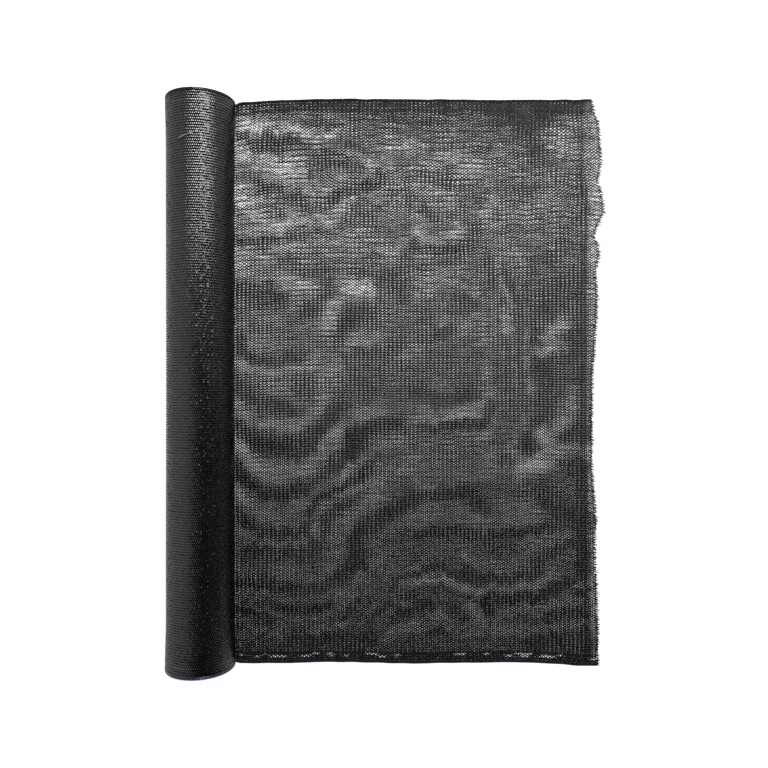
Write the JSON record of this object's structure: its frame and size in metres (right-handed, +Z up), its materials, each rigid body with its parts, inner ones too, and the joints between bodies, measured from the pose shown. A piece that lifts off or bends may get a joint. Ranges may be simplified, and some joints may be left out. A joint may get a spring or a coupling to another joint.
{
  "type": "knitted privacy screen cloth",
  "caption": "Length of black knitted privacy screen cloth, partly unrolled: a wound roll with its loose end laid flat and its cut edge frayed.",
  "frame": {"origin": "on the ground under the middle of the cloth as it lies, halfway along its box and halfway across it", "axes": "+X from the roll towards the cut end, +Y along the roll from selvage to selvage, +Z up from the ground"},
  "size_m": [0.693, 0.918, 0.1023],
  "materials": {
    "wound_knit": "glossy black polyethylene yarn, knitted and wound in many turns",
    "laid_knit": "glossy black polyethylene yarn in an open knit with denser selvages",
    "loose_yarn": "black polyethylene yarn ends, unravelled at a cut edge"
  },
  "bodies": {
    "root": {"roll": "wound_knit", "loose_end": "laid_knit", "frayed_end": "loose_yarn"}
  },
  "joints": []
}
